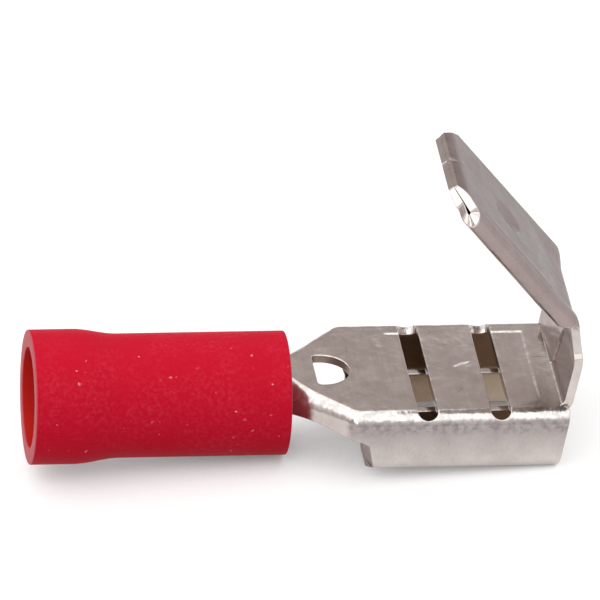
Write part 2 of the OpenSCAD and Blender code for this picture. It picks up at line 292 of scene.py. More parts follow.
@dataclass(frozen=True)
class Vinyl:
    """Soft red vinyl tube, extruded and flared: matte, with a dusty bloom and pale specks."""

    name: str
    colour: str
    bloom: str
    speck: str = "#f0cbb4"
    bloom_share: float = 0.3
    gloss: float = 0.2
    ior: float = 1.53
    bloom_mm: float = 0.16
    patch_mm: float = 1.6
    speck_mm: float = 0.36
    tear_mm: float = 1 / 9
    torn_by: float = 0.22
    grain_mm: float = 0.09
    grain_depth: float = 0.012

    def material(self) -> bpy.types.Material:
        """Paint the finish in nodes.

        Returns:
            The material.
        """
        material, shader = new_material(self.name)
        tree = material.node_tree
        place = add(tree, "ShaderNodeTexCoord").outputs["Object"]
        mm = add(tree, "ShaderNodeVectorMath", {"operation": "SCALE"}, {"Scale": 1 / MM}, {0: place}).outputs[0]
        haze, patches, tears, grain = (
            add(
                tree, "ShaderNodeTexNoise", values={"Scale": 1 / size, "Detail": detail, "Roughness": rough},
                links={"Vector": mm},
            ).outputs
            for size, detail, rough in (
                (self.bloom_mm, 6.0, 0.65),
                (self.patch_mm, 2.0, 0.5),
                (self.tear_mm, 2.0, 0.5),
                (self.grain_mm, 3.0, 0.5),
            )
        )
        # Specks of dust are ragged, of all sizes, and most of them faint
        torn = add(
            tree, "ShaderNodeVectorMath", {"operation": "MULTIPLY_ADD"}, {1: (self.torn_by,) * 3},
            {0: tears["Color"], 2: mm},
        ).outputs[0]
        cells = add(
            tree, "ShaderNodeTexVoronoi", values={"Scale": 1 / self.speck_mm, "Randomness": 1.0},
            links={"Vector": torn},
        ).outputs
        size, paleness, _ = add(tree, "ShaderNodeSeparateColor", links={0: cells["Color"]}).outputs
        reach, patch, bloomed, rough = (
            add(
                tree, "ShaderNodeMapRange",
                values={"From Min": low, "From Max": high, "To Min": first, "To Max": last},
                links={"Value": source},
            ).outputs[0]
            for source, low, high, first, last in (
                (size, 0.3, 1.0, 0.0, 0.22),
                (patches["Fac"], 0.35, 0.65, 0.2, 1.0),
                (haze["Fac"], 0.45, 0.75, 0.0, self.bloom_share),
                (haze["Fac"], 0.3, 0.7, 0.46, 0.62),
            )
        )
        near = add(
            tree, "ShaderNodeMath", {"operation": "SUBTRACT"}, links={0: reach, 1: cells["Distance"]}
        ).outputs[0]
        solid = add(
            tree, "ShaderNodeMapRange", values={"From Min": 0.0, "From Max": 0.1, "To Max": 0.9},
            links={"Value": near},
        ).outputs[0]
        pale = add(tree, "ShaderNodeMath", {"operation": "POWER"}, {1: 4.0}, {0: paleness}).outputs[0]
        bloomed, specked = (
            add(tree, "ShaderNodeMath", {"operation": "MULTIPLY"}, links={0: one, 1: other}).outputs[0]
            for one, other in ((bloomed, patch), (solid, pale))
        )
        tone = add(
            tree, "ShaderNodeMix", {"data_type": "RGBA"}, {6: linear(self.colour), 7: linear(self.bloom)},
            {0: bloomed},
        ).outputs[2]
        tone = add(
            tree, "ShaderNodeMix", {"data_type": "RGBA"}, {7: linear(self.speck)}, {0: specked, 6: tone}
        ).outputs[2]
        bump = add(
            tree, "ShaderNodeBump", values={"Strength": 0.3, "Distance": self.grain_depth * MM},
            links={"Height": grain["Fac"]},
        )
        shader.inputs["IOR"].default_value = self.ior
        shader.inputs["Specular IOR Level"].default_value = self.gloss
        for socket, source in (("Base Color", tone), ("Roughness", rough), ("Normal", bump.outputs[0])):
            tree.links.new(source, shader.inputs[socket])
        return material


@dataclass(frozen=True)
class WhitePaper:
    """Matte white paper on the table: it glows white, and painted shade dims the glow only where the part all
    but closes it in.
    """

    name: str = "matte_white_paper"
    colour: str = "#b4b3b2"
    glow: float = 0.56
    shade_mm: float = 7.0

    def material(self) -> bpy.types.Material:
        """Paint the finish in nodes.

        Returns:
            The material.
        """
        material, shader = new_material(self.name)
        tree = material.node_tree
        light = add(tree, "ShaderNodeLightPath").outputs
        open_to = add(
            tree, "ShaderNodeAmbientOcclusion", {"samples": 6}, {"Distance": self.shade_mm * MM}
        ).outputs["AO"]
        mirrored = add(
            tree, "ShaderNodeMath", {"operation": "MAXIMUM"},
            links={0: light["Is Glossy Ray"], 1: light["Is Transmission Ray"]},
        ).outputs[0]
        seen = []
        # Camera and mirror rays see the glow dimmed by painted shade where the part closes the paper in
        for rays, low, high, least in (
            (light["Is Camera Ray"], 0.06, 0.3, 0.1),
            (mirrored, 0.08, 0.4, 0.65),
        ):
            kept = add(
                tree, "ShaderNodeMapRange", values={"From Min": low, "From Max": high, "To Min": least},
                links={"Value": open_to},
            ).outputs[0]
            seen.append(add(tree, "ShaderNodeMath", {"operation": "MULTIPLY"}, links={0: rays, 1: kept}))
        both = add(
            tree, "ShaderNodeMath", {"operation": "ADD"},
            links={k: node.outputs[0] for k, node in enumerate(seen)},
        ).outputs[0]
        glow = add(tree, "ShaderNodeMath", {"operation": "MULTIPLY"}, {1: self.glow}, {0: both}).outputs[0]
        for socket, level in (
            ("Base Color", linear(self.colour)),
            ("Roughness", 1.0),
            ("Specular IOR Level", 0.0),
            ("Emission Color", WHITE),
        ):
            shader.inputs[socket].default_value = level
        tree.links.new(glow, shader.inputs["Emission Strength"])
        return material


@dataclass(frozen=True)
class Step:
    """A flat of a folded strip, and the bend after it; a positive turn goes towards the upper skin."""

    flat: float
    radius: float = 0.0
    turn: float = 0.0


@dataclass(frozen=True)
class Run:
    """A flat or a bend of a folded strip, where it lies in the side view."""

    start: float
    length: float
    point: Array
    heading: float
    reach: float = 0.0
    turn: float = 0.0

    @property
    def end(self) -> float:
        """Return where it ends along the strip."""
        return self.start + self.length


class FoldPath:
    """Side view of a folded strip, followed along its upper skin; lengths are those outside the bends."""

    def __init__(self, start: Pair, steps: list[Step], thickness: float) -> None:
        """Lay out the path.

        Args:
            start: Where the upper skin starts, heading along the first axis.
            steps: Flats and bends in order.
            thickness: Thickness of the sheet.
        """
        self.runs: list[Run] = []
        point, heading, gone = np.array(start, dtype=float), 0.0, 0.0
        for step in steps:
            along = np.array([math.cos(heading), math.sin(heading)])
            self.runs.append(Run(gone, step.flat, point, heading))
            gone, point = gone + step.flat, point + step.flat * along
            if step.turn:
                turn = math.radians(step.turn)
                length = (step.radius + thickness) * abs(turn)
                reach = step.radius if turn > 0 else -step.radius - thickness
                self.runs.append(Run(gone, length, point, heading, reach, turn))
                left = np.array([-along[1], along[0]])
                swing = np.array([[math.cos(turn), -math.sin(turn)], [math.sin(turn), math.cos(turn)]])
                point = point + reach * left - swing @ (reach * left)
                gone, heading = gone + length, heading + turn
        self.length = gone

    def at(self, gone: Array) -> tuple[Array, Array]:
        """Follow the path.

        Args:
            gone: Distances along it.

        Returns:
            Points of the upper skin, and the directions straight out of it.
        """
        points, outward = np.zeros((len(gone), 2)), np.zeros((len(gone), 2))
        last = len(self.runs) - 1
        for k, run in enumerate(self.runs):
            here = ((gone >= run.start) | (k == 0)) & ((gone < run.end) | (k == last))
            past = gone[here] - run.start
            angle = run.heading + (run.turn * past / run.length if run.turn else 0 * past)
            left = np.column_stack([-np.sin(angle), np.cos(angle)])
            if run.turn:
                first = np.array([-math.sin(run.heading), math.cos(run.heading)])
                points[here] = run.point + run.reach * first - run.reach * left
            else:
                points[here] = run.point + past[:, None] * [math.cos(run.heading), math.sin(run.heading)]
            outward[here] = left
        return points, outward

    def stations(self, flat_step: float, bend_step: float, low: float = 0.0) -> Array:
        """Space points along the path.

        Args:
            flat_step: Greatest distance between points on a flat.
            bend_step: Greatest distance between points on a bend.
            low: Where to start.

        Returns:
            Distances along the path.
        """
        rows = []
        for run in self.runs:
            if run.end > low:
                start = max(run.start, low)
                count = max(1, math.ceil((run.end - start) / (bend_step if run.turn else flat_step)))
                rows.append(np.linspace(start, run.end, count, endpoint=False))
        return np.concatenate(rows)


def smooth(value: Array) -> Array:
    """Ease from 0 to 1 between 0 and 1."""
    held = np.clip(value, 0.0, 1.0)
    return held * held * (3 - 2 * held)


def fade(distance: Array, reach: float, ease: float) -> Array:
    """Return 1 well within a reach and 0 beyond it, eased over a length."""
    return smooth((reach - distance) / ease)


def ridge(offset: Array, width: float) -> Array:
    """Return the height of a soft ridge of height 1 at an offset from its middle."""
    return np.exp(-((offset / width) ** 2))


def lattice(along: Array, across: Array) -> Array:
    """Return every pair of a place along and a place across, as rows."""
    return np.stack(np.meshgrid(along, across), axis=-1).reshape(-1, 2)


def densify(points: list[Pair], step: float) -> Array:
    """Add points to a closed outline.

    Args:
        points: Its corners in order.
        step: Greatest distance between points.

    Returns:
        The outline's points.
    """
    rows = []
    for p, q in zip(points, points[1:] + points[:1]):
        count = max(1, math.ceil(math.dist(p, q) / step))
        shares = np.linspace(0, 1, count, endpoint=False)[:, None]
        rows.append(np.array(p) + shares * (np.array(q) - np.array(p)))
    return np.concatenate(rows)


def outward_of(loop: Array, sharpest: float = 0.6) -> Array:
    """Find the mitred direction away from the sheet all along an outline.

    Args:
        loop: The outline's points, with the sheet on its left.
        sharpest: Limit of the mitre at sharp corners.

    Returns:
        One direction for each point, longer at corners.
    """
    ahead = np.roll(loop, -1, axis=0) - loop
    ahead /= np.linalg.norm(ahead, axis=1, keepdims=True)
    both = ahead + np.roll(ahead, 1, axis=0)
    both /= np.maximum(np.linalg.norm(both, axis=1, keepdims=True), 1e-6)
    sharp = np.clip(np.sum(both * ahead, axis=1, keepdims=True), sharpest, 1.0)
    return np.column_stack([both[:, 1], -both[:, 0]]) / sharp


def inside(points: Array, loops: list[Array]) -> Array:
    """Say which points lie inside an odd number of outlines.

    Args:
        points: The points.
        loops: The outlines.

    Returns:
        A truth value for each point.
    """
    found = np.zeros(len(points), dtype=bool)
    x, y = points.T
    for loop in loops:
        for (x0, y0), (x1, y1) in zip(loop, np.roll(loop, -1, axis=0)):
            if y0 != y1:
                crosses = (y0 > y) != (y1 > y)
                found ^= crosses & (x < x0 + (y - y0) * (x1 - x0) / (y1 - y0))
    return found


@dataclass
class FoldedTerminal:
    """The conductor: a flat blank, pressed and folded into barrel, neck, receptacle, riser and tab.

    A place on the blank is given by a, its distance along the blank from the receptacle's rear, and b, its
    distance from the centre line, to the left. A pair of sizes is a reach and the length over which it is
    eased, or for a mark its place and width, or for a mesh the spacing on flats and on bends.
    """

    finishes: dict[Plate, TinPlate]
    # Sheet and barrel
    sheet_t: float = 0.348
    edge_r: float = 0.035
    bend_r: float = 0.25
    barrel_r: float = 1.25
    barrel_l: float = 5.5
    seam_gap: float = 0.06
    neck_x: float = 9.3
    # Neck and window
    neck_l: float = 3.25
    neck_drop: float = 0.15
    neck_arch: float = 0.16
    ease_in: float = 0.3
    ease_out: float = 0.1
    flat_by: float = 0.55
    window_w: float = 2.2
    window_l: float = 1.35
    window_set: float = 0.06
    window_r: float = 0.18
    # Receptacle with its rails and lips
    recept_w: float = 7.4
    recept_h: float = 2.5
    recept_l: float = 8.15
    floor_rise: float = 1.0
    lip_gap: float = 0.6
    lip_space: float = 2.3
    lip_shift: float = 0.2
    rear_slant: float = 0.28
    mouth_slant: float = 0.38
    rear_chamfer: float = 0.26
    chamfer_l: float = 0.8
    rear_margin: float = 0.1
    rear_shaded: float = 1.0
    wall_ease: Pair = (0.1, 0.3)
    # Slots, pressed panel, catch and its score
    slot_w: float = 0.76
    slot_first: float = 2.6
    slot_pitch: float = 2.85
    slot_wrap: float = 55.0
    panel_l: float = 6.17
    panel_w: float = 5.4
    panel_set: float = 0.9
    panel_d: float = 0.03
    panel_slope: float = 0.07
    panel_rear: float = 0.4
    panel_near: float = 1.6
    panel_soft: float = 1.2
    panel_sharp: Pair = (1.4, 0.3)
    catch_d: float = 0.9
    catch_depth: float = 0.015
    catch_set: float = 4.35
    score_b: float = 0.25
    score_way: Pair = (0.88, 0.48)
    score_w: float = 0.05
    score_d: float = 0.028
    score_l: Pair = (0.42, 0.15)
    # Riser, its crease and its head
    riser_set: float = 0.2
    riser_relief: float = 0.05
    riser_notch: float = 0.04
    riser_clear: float = 0.5
    inner_from: float = 0.3
    outer_past: float = 0.6
    foot_flare: float = 0.1
    flare_l: float = 1.0
    shoulder: float = 0.2
    shoulder_l: float = 0.2
    shoulder_run: float = 2.75
    riser_lower: float = 1.84
    riser_upper: float = 1.68
    riser_lean: float = 80.0
    riser_back: float = 99.0
    foot_r: float = 0.2
    knee_r: float = 2.0
    head_r: float = 0.3
    crease_b: float = 0.26
    crease_slope: float = -0.13
    crease_bend: float = 0.13
    crease_soft: float = 0.003
    crease_foot: float = 1.1
    crease_head: float = 1.6
    step_h: float = 0.06
    step_w: float = 0.05
    step_fade: float = 0.8
    step_foot: float = 0.4
    step_top: Pair = (2.5, 0.5)
    head_dip: float = 0.12
    dip_near: Pair = (2.5, 0.5)
    dip_far: Pair = (2.7, 1.6)
    dip_below: Pair = (1.3, 1.0)
    dip_above: Pair = (2.4, 2.0)
    # Tab with its folds, ripples, tip and detent
    tab_w: float = 6.3
    tab_t: float = 0.8
    tab_l: float = 7.4
    tab_tilt: float = 50.4
    root_flat: Pair = (0.9, 0.4)
    left_root: tuple[Pair, ...] = ((-0.42, 0.0), (-0.38, 0.35), (-0.1, 0.9), (0.35, 1.6), (0.5, math.inf))
    right_root: tuple[Pair, ...] = (
        (-0.95, 0.0), (-0.7, 0.1), (-0.35, 0.3), (0.1, 0.75), (0.55, 1.35), (0.9, math.inf)
    )
    wing_gap: float = 0.08
    wing_side: float = 0.2
    wing_loss: float = 0.5
    pinch_by: float = 0.95
    pinch_l: float = 2.6
    pinch_edge: float = 0.35
    ripple_d: float = 0.016
    ripples: tuple[Pair, Pair] = ((2.3, 0.13), (2.62, 0.1))
    ripple_ends: tuple[Pair, Pair] = ((0.3, 1.2), (1.2, 1.5))
    groove_d: float = 0.09
    groove_w: float = 0.09
    groove_l: float = 0.45
    tip_chamfer: float = 1.15
    tip_angle: float = 48.0
    tip_lean: float = 5.0
    tip_slope_l: float = 0.5
    tip_curve: float = 1.6
    tip_t: float = 0.42
    tip_r: float = 0.005
    tip_sharp: Pair = (0.1, 0.08)
    fold_dents: tuple[Pair, ...] = ((2.95, 0.09), (3.62, 0.13))
    dent_d: float = 0.045
    detent_d: float = 1.6
    detent_depth: float = 0.15
    detent_set: float = 3.55
    raised_keep: float = 0.4
    # Spacing of the mesh
    rim_clear: float = 0.035
    barrel_step: float = 0.3
    floor_steps: Pair = (0.09, 0.075)
    wall_steps: Pair = (0.14, 0.08)
    wall_along: float = 0.18
    riser_steps: Pair = (0.1, 0.07)
    wing_steps: Pair = (0.1, 0.09)
    rail_rim_steps: Pair = (0.1, 0.07)
    tip_rim_steps: Pair = (0.05, 0.03)
    rim_step: float = 0.07
    hole_step: float = 0.06
    groove_grid: tuple[float, float, int, int] = (0.05, 0.16, 7, 9)
    beside: tuple[float, ...] = (-0.1, -0.06, -0.03, 0.0, 0.03, 0.06, 0.1)
    crease_rows: Triple = (0.1, 2.4, 0.07)
    score_rows: Triple = (-0.45, 0.46, 0.06)
    panel_rows: tuple[int, float, float] = (4, 0.025, 0.06)

    def __post_init__(self) -> None:
        """Lay out the folded runs."""
        bend_out = self.sheet_t + self.bend_r
        self.bend_y = self.recept_w / 2 - bend_out
        self.recept_x = self.neck_x + self.neck_l
        rail_bottom = self.floor_rise - self.recept_h
        self.rail = FoldPath((0.0, self.floor_rise), [
            Step(self.bend_y, self.bend_r, -90),
            Step(self.recept_h - 2 * bend_out, self.bend_r, -90),
            Step(self.recept_w / 2 - self.lip_space / 2 - 2 * bend_out, self.bend_r, -90),
            Step(self.floor_rise - self.sheet_t - self.lip_gap - rail_bottom - bend_out),
        ], self.sheet_t)
        *_, self.bottom, _, _ = self.rail.runs
        knee_leg = self.knee_r * math.tan(math.radians(self.riser_back - self.riser_lean) / 2)
        turn = 180 - self.tab_tilt
        head_leg = self.head_r * math.tan(math.radians(turn - self.riser_back) / 2)
        foot_leg = self.foot_r * math.tan(math.radians(self.riser_lean) / 2)
        self.foot_a = self.recept_l - self.riser_set - foot_leg
        self.riser = FoldPath((self.recept_x + self.foot_a, self.floor_rise), [
            Step(0.0, self.foot_r, self.riser_lean),
            Step(self.riser_lower - foot_leg - knee_leg, self.knee_r, self.riser_back - self.riser_lean),
            Step(self.riser_upper - knee_leg - head_leg, self.head_r, turn - self.riser_back),
            Step(self.tab_l),
        ], self.sheet_t)
        self.tab_a = self.foot_a + self.riser.length - self.tab_l
        self.tip_a = self.tab_a + self.tab_l
        flat = self.tab_w / 2 - self.tab_t / 2
        fold_r = (self.tab_t - 2 * self.sheet_t) / 2
        self.wing = FoldPath(
            (0.0, 0.0), [Step(flat, fold_r, 180), Step(flat - self.wing_gap / 2)], self.sheet_t
        )
        self.riser_half = flat - self.riser_relief
        bend_z = self.floor_rise - bend_out
        self.edge_b = self.bend_y + bend_out * math.pi / 2 + bend_z + self.neck_drop
        self.round_l = self.neck_shape(np.zeros(1))[-1][0]
        self.barrel_b = (math.pi * self.barrel_r - self.seam_gap / 2) * self.edge_b / self.round_l

    def neck_shape(self, u: Array) -> tuple[Array, Array, Array, Array]:
        """Work out the neck's section.

        Args:
            u: Places along the neck, from 0 at the barrel to 1 at the receptacle.

        Returns:
            Corner radius, top, flat half width and length round half the section.
        """
        gain = 1 / (1 - self.ease_in / 2 - self.ease_out / 2)
        late = 1 - gain * (1 - u) ** 2 / (2 * self.ease_out)
        widening = np.where(
            u < self.ease_in,
            gain * u * u / (2 * self.ease_in),
            np.where(u < 1 - self.ease_out, gain * (u - self.ease_in / 2), late),
        )
        half = self.barrel_r + (self.recept_w / 2 - self.barrel_r) * widening
        corner = self.barrel_r + (self.sheet_t + self.bend_r - self.barrel_r) * (1 - (1 - u) ** 2)
        top = self.barrel_r + (self.floor_rise - self.barrel_r) * smooth(u / self.flat_by)
        edge = self.neck_arch * np.sin(np.pi * u) ** 2 - self.neck_drop
        flat = half - corner
        return corner, top, flat, flat + corner * np.pi / 2 + top - corner - edge

    def half_at(self, a: Array, side: Array | int) -> Array:
        """Work out the riser's half width: it flares towards its foot, and has a shoulder on the right.

        Args:
            a: Places along the blank.
            side: Below 0 for the right side.

        Returns:
            Half widths.
        """
        climb = a - self.foot_a
        above = np.clip((climb - self.shoulder_run) / self.shoulder_l + 0.5, 0, 1)
        wide = np.where(np.asarray(side) < 0, 1 - above, 0)
        return self.riser_half + self.foot_flare * (1 - smooth(climb / self.flare_l)) + self.shoulder * wide

    def on_riser(self, a: Array, b: Array) -> Array:
        """Say which places on the blank belong to the riser and the tab."""
        within = np.abs(b) < self.half_at(a, np.sign(b)) + self.riser_notch / 2
        return (a > self.foot_a) & (within | (a > self.recept_l + self.riser_clear))

    def rail_skin(self, a: Array, b: Array) -> Array:
        """Fold the upper skin of floor, walls and lips.

        Args:
            a: Places along the blank.
            b: Places across it.

        Returns:
            The points in space.
        """
        run = np.abs(b)
        section, _ = self.rail.at(run)
        # The near lip is rolled a little further out
        out = self.lip_shift * smooth((run - self.bottom.start) / self.bottom.length)
        y = section[:, 0] + np.where(b < 0, out, 0)
        return np.column_stack([self.recept_x + a, np.where(b < 0, -y, y), section[:, 1]])

    def barrel_skin(self, a: Array, b: Array) -> Array:
        """Roll the upper skin of the barrel.

        Args:
            a: Places along the blank.
            b: Places across it.

        Returns:
            The points in space.
        """
        turn = b * self.round_l / self.edge_b / self.barrel_r
        return np.column_stack([self.recept_x + a, self.barrel_r * np.sin(turn), self.barrel_r * np.cos(turn)])

    def neck_skin(self, a: Array, b: Array) -> Array:
        """Fold the upper skin of the neck.

        Args:
            a: Places along the blank.
            b: Places across it.

        Returns:
            The points in space.
        """
        corner, top, flat, length = self.neck_shape(1 + a / self.neck_l)
        gone = np.abs(b) / self.edge_b * length
        turn = np.clip((gone - flat) / corner, 0, np.pi / 2)
        below = np.maximum(gone - flat - corner * np.pi / 2, 0)
        y = np.minimum(gone, flat) + corner * np.sin(turn)
        z = top - corner + corner * np.cos(turn) - below
        return np.column_stack([self.recept_x + a, np.where(b < 0, -y, y), z])

    def tab_skin(self, a: Array, b: Array) -> Array:
        """Fold the upper skin of riser and tab.

        Args:
            a: Places along the blank.
            b: Places across it.

        Returns:
            The points in space.
        """
        climb, left, to_end = a - self.foot_a, self.tab_a - a, self.tip_a - a
        path, outward = self.riser.at(climb)
        run = np.abs(b)
        y, lift = self.wing.at(run)[0].T
        # Below the head the riser is flat to its edges
        level = smooth((left - self.root_flat[0]) / self.root_flat[1])
        y, lift = y * (1 - level) + run * level, lift * (1 - level)
        # The wings are pinched against the tab at its tip, and open towards the folds
        pinch = smooth(1 - to_end / self.pinch_l) * fade(y, self.tab_w / 2 - self.pinch_edge, self.pinch_edge)
        lift = lift * (1 - self.pinch_by * pinch)
        # The far half of the riser is bent back along a slanting crease with a small step
        past = b - self.crease_b - self.crease_slope * climb
        soft = 0.5 * (past + np.sqrt(past * past + self.crease_soft))
        bent = self.crease_bend * soft * smooth(climb / self.crease_foot) * smooth(left / self.crease_head)
        step = self.step_h * smooth((past + self.step_w / 2) / self.step_w)
        step *= np.exp(-np.maximum(past, 0) / self.step_fade)
        bent += step * smooth(climb / self.step_foot) * fade(climb, *self.step_top)
        # The head dips between the roots of the folds
        middle = np.where(b < 0, fade(-b, *self.dip_near), fade(b, *self.dip_far))
        bent += self.head_dip * fade(left, *self.dip_below) * fade(-left, *self.dip_above) * middle
        return np.column_stack([
            path[:, 0] + lift * outward[:, 0] - bent, np.where(b < 0, -y, y), path[:, 1] + lift * outward[:, 1]
        ])

    def skin(self, a: Array, b: Array, riser: Array) -> Array:
        """Fold the blank's upper skin.

        Args:
            a: Places along the blank.
            b: Places across it.
            riser: Which of them belong to the riser and the tab.

        Returns:
            The points in space.
        """
        out = np.zeros((len(a), 3))
        for shape, here in (
            (self.rail_skin, ~riser & (a >= 0)),
            (self.barrel_skin, ~riser & (a < -self.neck_l)),
            (self.neck_skin, ~riser & (a < 0) & (a >= -self.neck_l)),
            (self.tab_skin, riser),
        ):
            out[here] = shape(a[here], b[here])
        return out

    @staticmethod
    def dimple(a: Array, b: Array, width: float, depth: float) -> Array:
        """Press a round dimple with a soft rim.

        Args:
            a: Places along the blank, from the dimple's middle.
            b: Places across it, from the dimple's middle.
            width: Its diameter.
            depth: Its depth.

        Returns:
            Depths at those places.
        """
        share = np.clip(1 - 4 * (a * a + b * b) / width ** 2, 0, 1)
        return depth * share * smooth(share * 4)

    def pressed(self, a: Array, b: Array) -> Array:
        """Press the panel and catch of the floor, and the marks of the tab.

        Args:
            a: Places along the blank.
            b: Places across it.

        Returns:
            Depths below the upper skin, negative where the form is raised.
        """
        # The panel's far edge is sharp beside the slots and soft between them, and its near edge is soft
        start, ease = self.panel_sharp
        between = smooth((a - self.slot_first) / ease) * fade(a, self.slot_first + self.slot_pitch, ease)
        sharp = smooth((a - start) / ease) * (1 - between)
        far = (self.panel_w / 2 - b) / (self.panel_slope + self.panel_soft * (1 - sharp))
        across = np.where(b < 0, (self.panel_w / 2 + b) / self.panel_near, far)
        front = (self.panel_set + self.panel_l - a) / self.panel_slope
        along = np.minimum((a - self.panel_set) / self.panel_rear, front)
        depth = self.panel_d * smooth(np.minimum(along, across))
        depth += self.dimple(a - self.catch_set, b, self.catch_d, self.catch_depth)
        # The edge of a tab has left a short slanting score in the catch
        gone, aside, (cos, sin) = a - self.catch_set, b - self.score_b, self.score_way
        along, across = cos * gone + sin * aside, cos * aside - sin * gone
        depth += self.score_d * ridge(across, self.score_w) * fade(np.abs(along), *self.score_l)
        depth -= self.dimple(a - (self.tip_a - self.detent_set), b, self.detent_d, self.detent_depth)
        # Folding leaves two long ripples beside the near fold
        dip, crest = (ridge(b + place, width) for place, width in self.ripples)
        (root, ease_in), (tip, ease_out) = self.ripple_ends
        long = smooth((a - self.tab_a - root) / ease_in) * fade(a, self.tip_a - tip, ease_out)
        depth += self.ripple_d * (dip - crest) * long
        # The seam of the wings shows through the coined end as a short groove
        groove = ridge(b, self.groove_w) * smooth(1 - (self.tip_a - a) / self.groove_l)
        return depth - self.groove_d * np.where(a > self.tab_a, groove, 0)

    def thinned(self, a: Array, b: Array) -> Array:
        """Thin the coined tip.

        Args:
            a: Places along the blank.
            b: Places across it.

        Returns:
            Shares of the thickness that are kept.
        """
        on_wing = np.abs(b) > self.tab_w / 2 + self.wing_side
        loss = (self.tab_t - self.tip_t) / 2 / self.sheet_t * np.where(on_wing, self.wing_loss, 1.0)
        near = np.clip(1 - (self.tip_a - a) / self.tip_slope_l, 0, 1) ** self.tip_curve
        return 1 - loss * np.where(a > self.tab_a, near, 0)

    def rear(self, b: Array) -> Array:
        """Find where the rails' slanting rear ends lie.

        Args:
            b: Places across the blank.

        Returns:
            Places along it.
        """
        run = np.abs(b)
        drop = -self.neck_drop - self.rail.at(run)[0][:, 1]
        full = self.recept_h - self.floor_rise - self.neck_drop
        return self.rear_slant * np.where(run < self.bottom.start, np.clip(drop / full, 0, 1), 1)

    def mouth(self, b: Array) -> Array:
        """Find where the slanting mouth lies along the blank at places across it."""
        drop = self.floor_rise - self.rail.at(np.abs(b))[0][:, 1]
        return self.recept_l - self.mouth_slant * drop / self.recept_h

    def tip(self, b: Array, depth: Array) -> Array:
        """Find where the tab's chamfered tip lies.

        Args:
            b: Places across the blank.
            depth: Depths in the sheet.

        Returns:
            Places along the blank.
        """
        points, outward = self.wing.at(np.abs(b))
        y, lift = (points - outward * depth[:, None]).T
        angle, lean = math.radians(self.tip_angle), math.radians(self.tip_lean)
        past = np.abs(y) - (self.tab_w / 2 - self.tip_chamfer)
        under = self.sheet_t + lift - self.tab_t / 2
        # The near fold is squeezed where its two layers meet, and the cut shows it as two dents
        dents = sum(ridge(np.abs(b) - place, width) for place, width in self.fold_dents)
        cut = self.tip_a - self.dent_d * np.where(b < 0, dents, 0)
        return cut + np.minimum(0, -under * math.tan(lean) / math.cos(angle) - past * math.tan(angle))

    def slanted(self, a: Array, b: Array, depth: Array) -> Array:
        """Move places near a slanted cut along the blank, so that the cut is flat through the sheet.

        Args:
            a: Places along the blank.
            b: Places across it.
            depth: Their depths in the sheet.

        Returns:
            How far each one moves.
        """
        run = np.abs(b)
        tip = self.tip(b, np.full(len(b), self.sheet_t / 2))
        at_tip = np.where(a > self.tab_a, smooth(1 - (tip - a)), 0)
        ease_in, ease_out = self.wall_ease
        wall = smooth((run - self.edge_b) / ease_in) * fade(run, self.bottom.start, ease_out)
        on_rail = (a > -self.rear_margin) & (a < self.recept_l)
        at_rear = np.where(on_rail, smooth(1 - (a - self.rear(b)) / self.chamfer_l), 0) * wall
        chamfer = self.rear_chamfer * (1 - depth / self.sheet_t)
        return at_tip * (self.tip(b, depth) - tip) + at_rear * chamfer

    def fold(self, flat: Array, depth: Array) -> Array:
        """Fold points of the blank into place.

        Args:
            flat: Their places on the blank.
            depth: Their depths below the upper skin.

        Returns:
            The points in space, in metres.
        """
        a, b = flat.T
        riser = self.on_riser(a, b)
        a = a + self.slanted(a, b, depth)
        nudge = 2e-4
        ahead = self.skin(a + nudge, b, riser) - self.skin(a - nudge, b, riser)
        aside = self.skin(a, b + nudge, riser) - self.skin(a, b - nudge, riser)
        outward = np.cross(ahead, aside)
        outward /= np.linalg.norm(outward, axis=1, keepdims=True)
        # A raised form is lower on the upper skin than on the lower one, from which it is punched
        press = self.pressed(a, b)
        raised = self.raised_keep + (1 - self.raised_keep) * depth / self.sheet_t
        down = depth * self.thinned(a, b) + np.where(press < 0, press * raised, press)
        return (self.skin(a, b, riser) - outward * down[:, None]) * MM

    def half_outline(self, side: Side) -> list[Pair]:
        """Outline half of the blank.

        Args:
            side: Which half.

        Returns:
            Its corners from the barrel to the tip's centre, as if it lay on the left.
        """
        lip, free = self.rail.length, self.wing.length
        notch = self.half_at(np.array([self.foot_a]), side.value)[0] + self.riser_notch
        rear_rows = self.rail.stations(*self.rail_rim_steps, self.edge_b)
        mouth_rows = np.append(self.rail.stations(*self.rail_rim_steps, notch), lip)[::-1]
        tip_rows = np.append(self.wing.stations(*self.tip_rim_steps), free)[::-1]
        tips = self.tip(side.value * tip_rows, np.full(len(tip_rows), self.sheet_t / 2))
        shoulder = self.shoulder_run + self.shoulder_l * np.array([-0.5, 0.5])
        edge = self.foot_a + np.concatenate([np.linspace(0, self.flare_l, 12), shoulder])
        root = self.left_root if side is Side.LEFT else self.right_root
        return [
            (-self.neck_l - self.barrel_l, self.barrel_b),
            (-self.neck_l, self.barrel_b),
            (-self.neck_l, self.edge_b),
            *zip(self.rear(rear_rows).tolist(), rear_rows.tolist()),
            (self.rear_slant, lip),
            *zip(self.mouth(mouth_rows).tolist(), mouth_rows.tolist()),
            (self.foot_a, notch),
            *zip(edge.tolist(), self.half_at(edge, side.value).tolist()),
            *((self.tab_a + a, min(self.riser_half + b, free)) for a, b in root),
            *zip(tips.tolist(), tip_rows.tolist()),
        ]

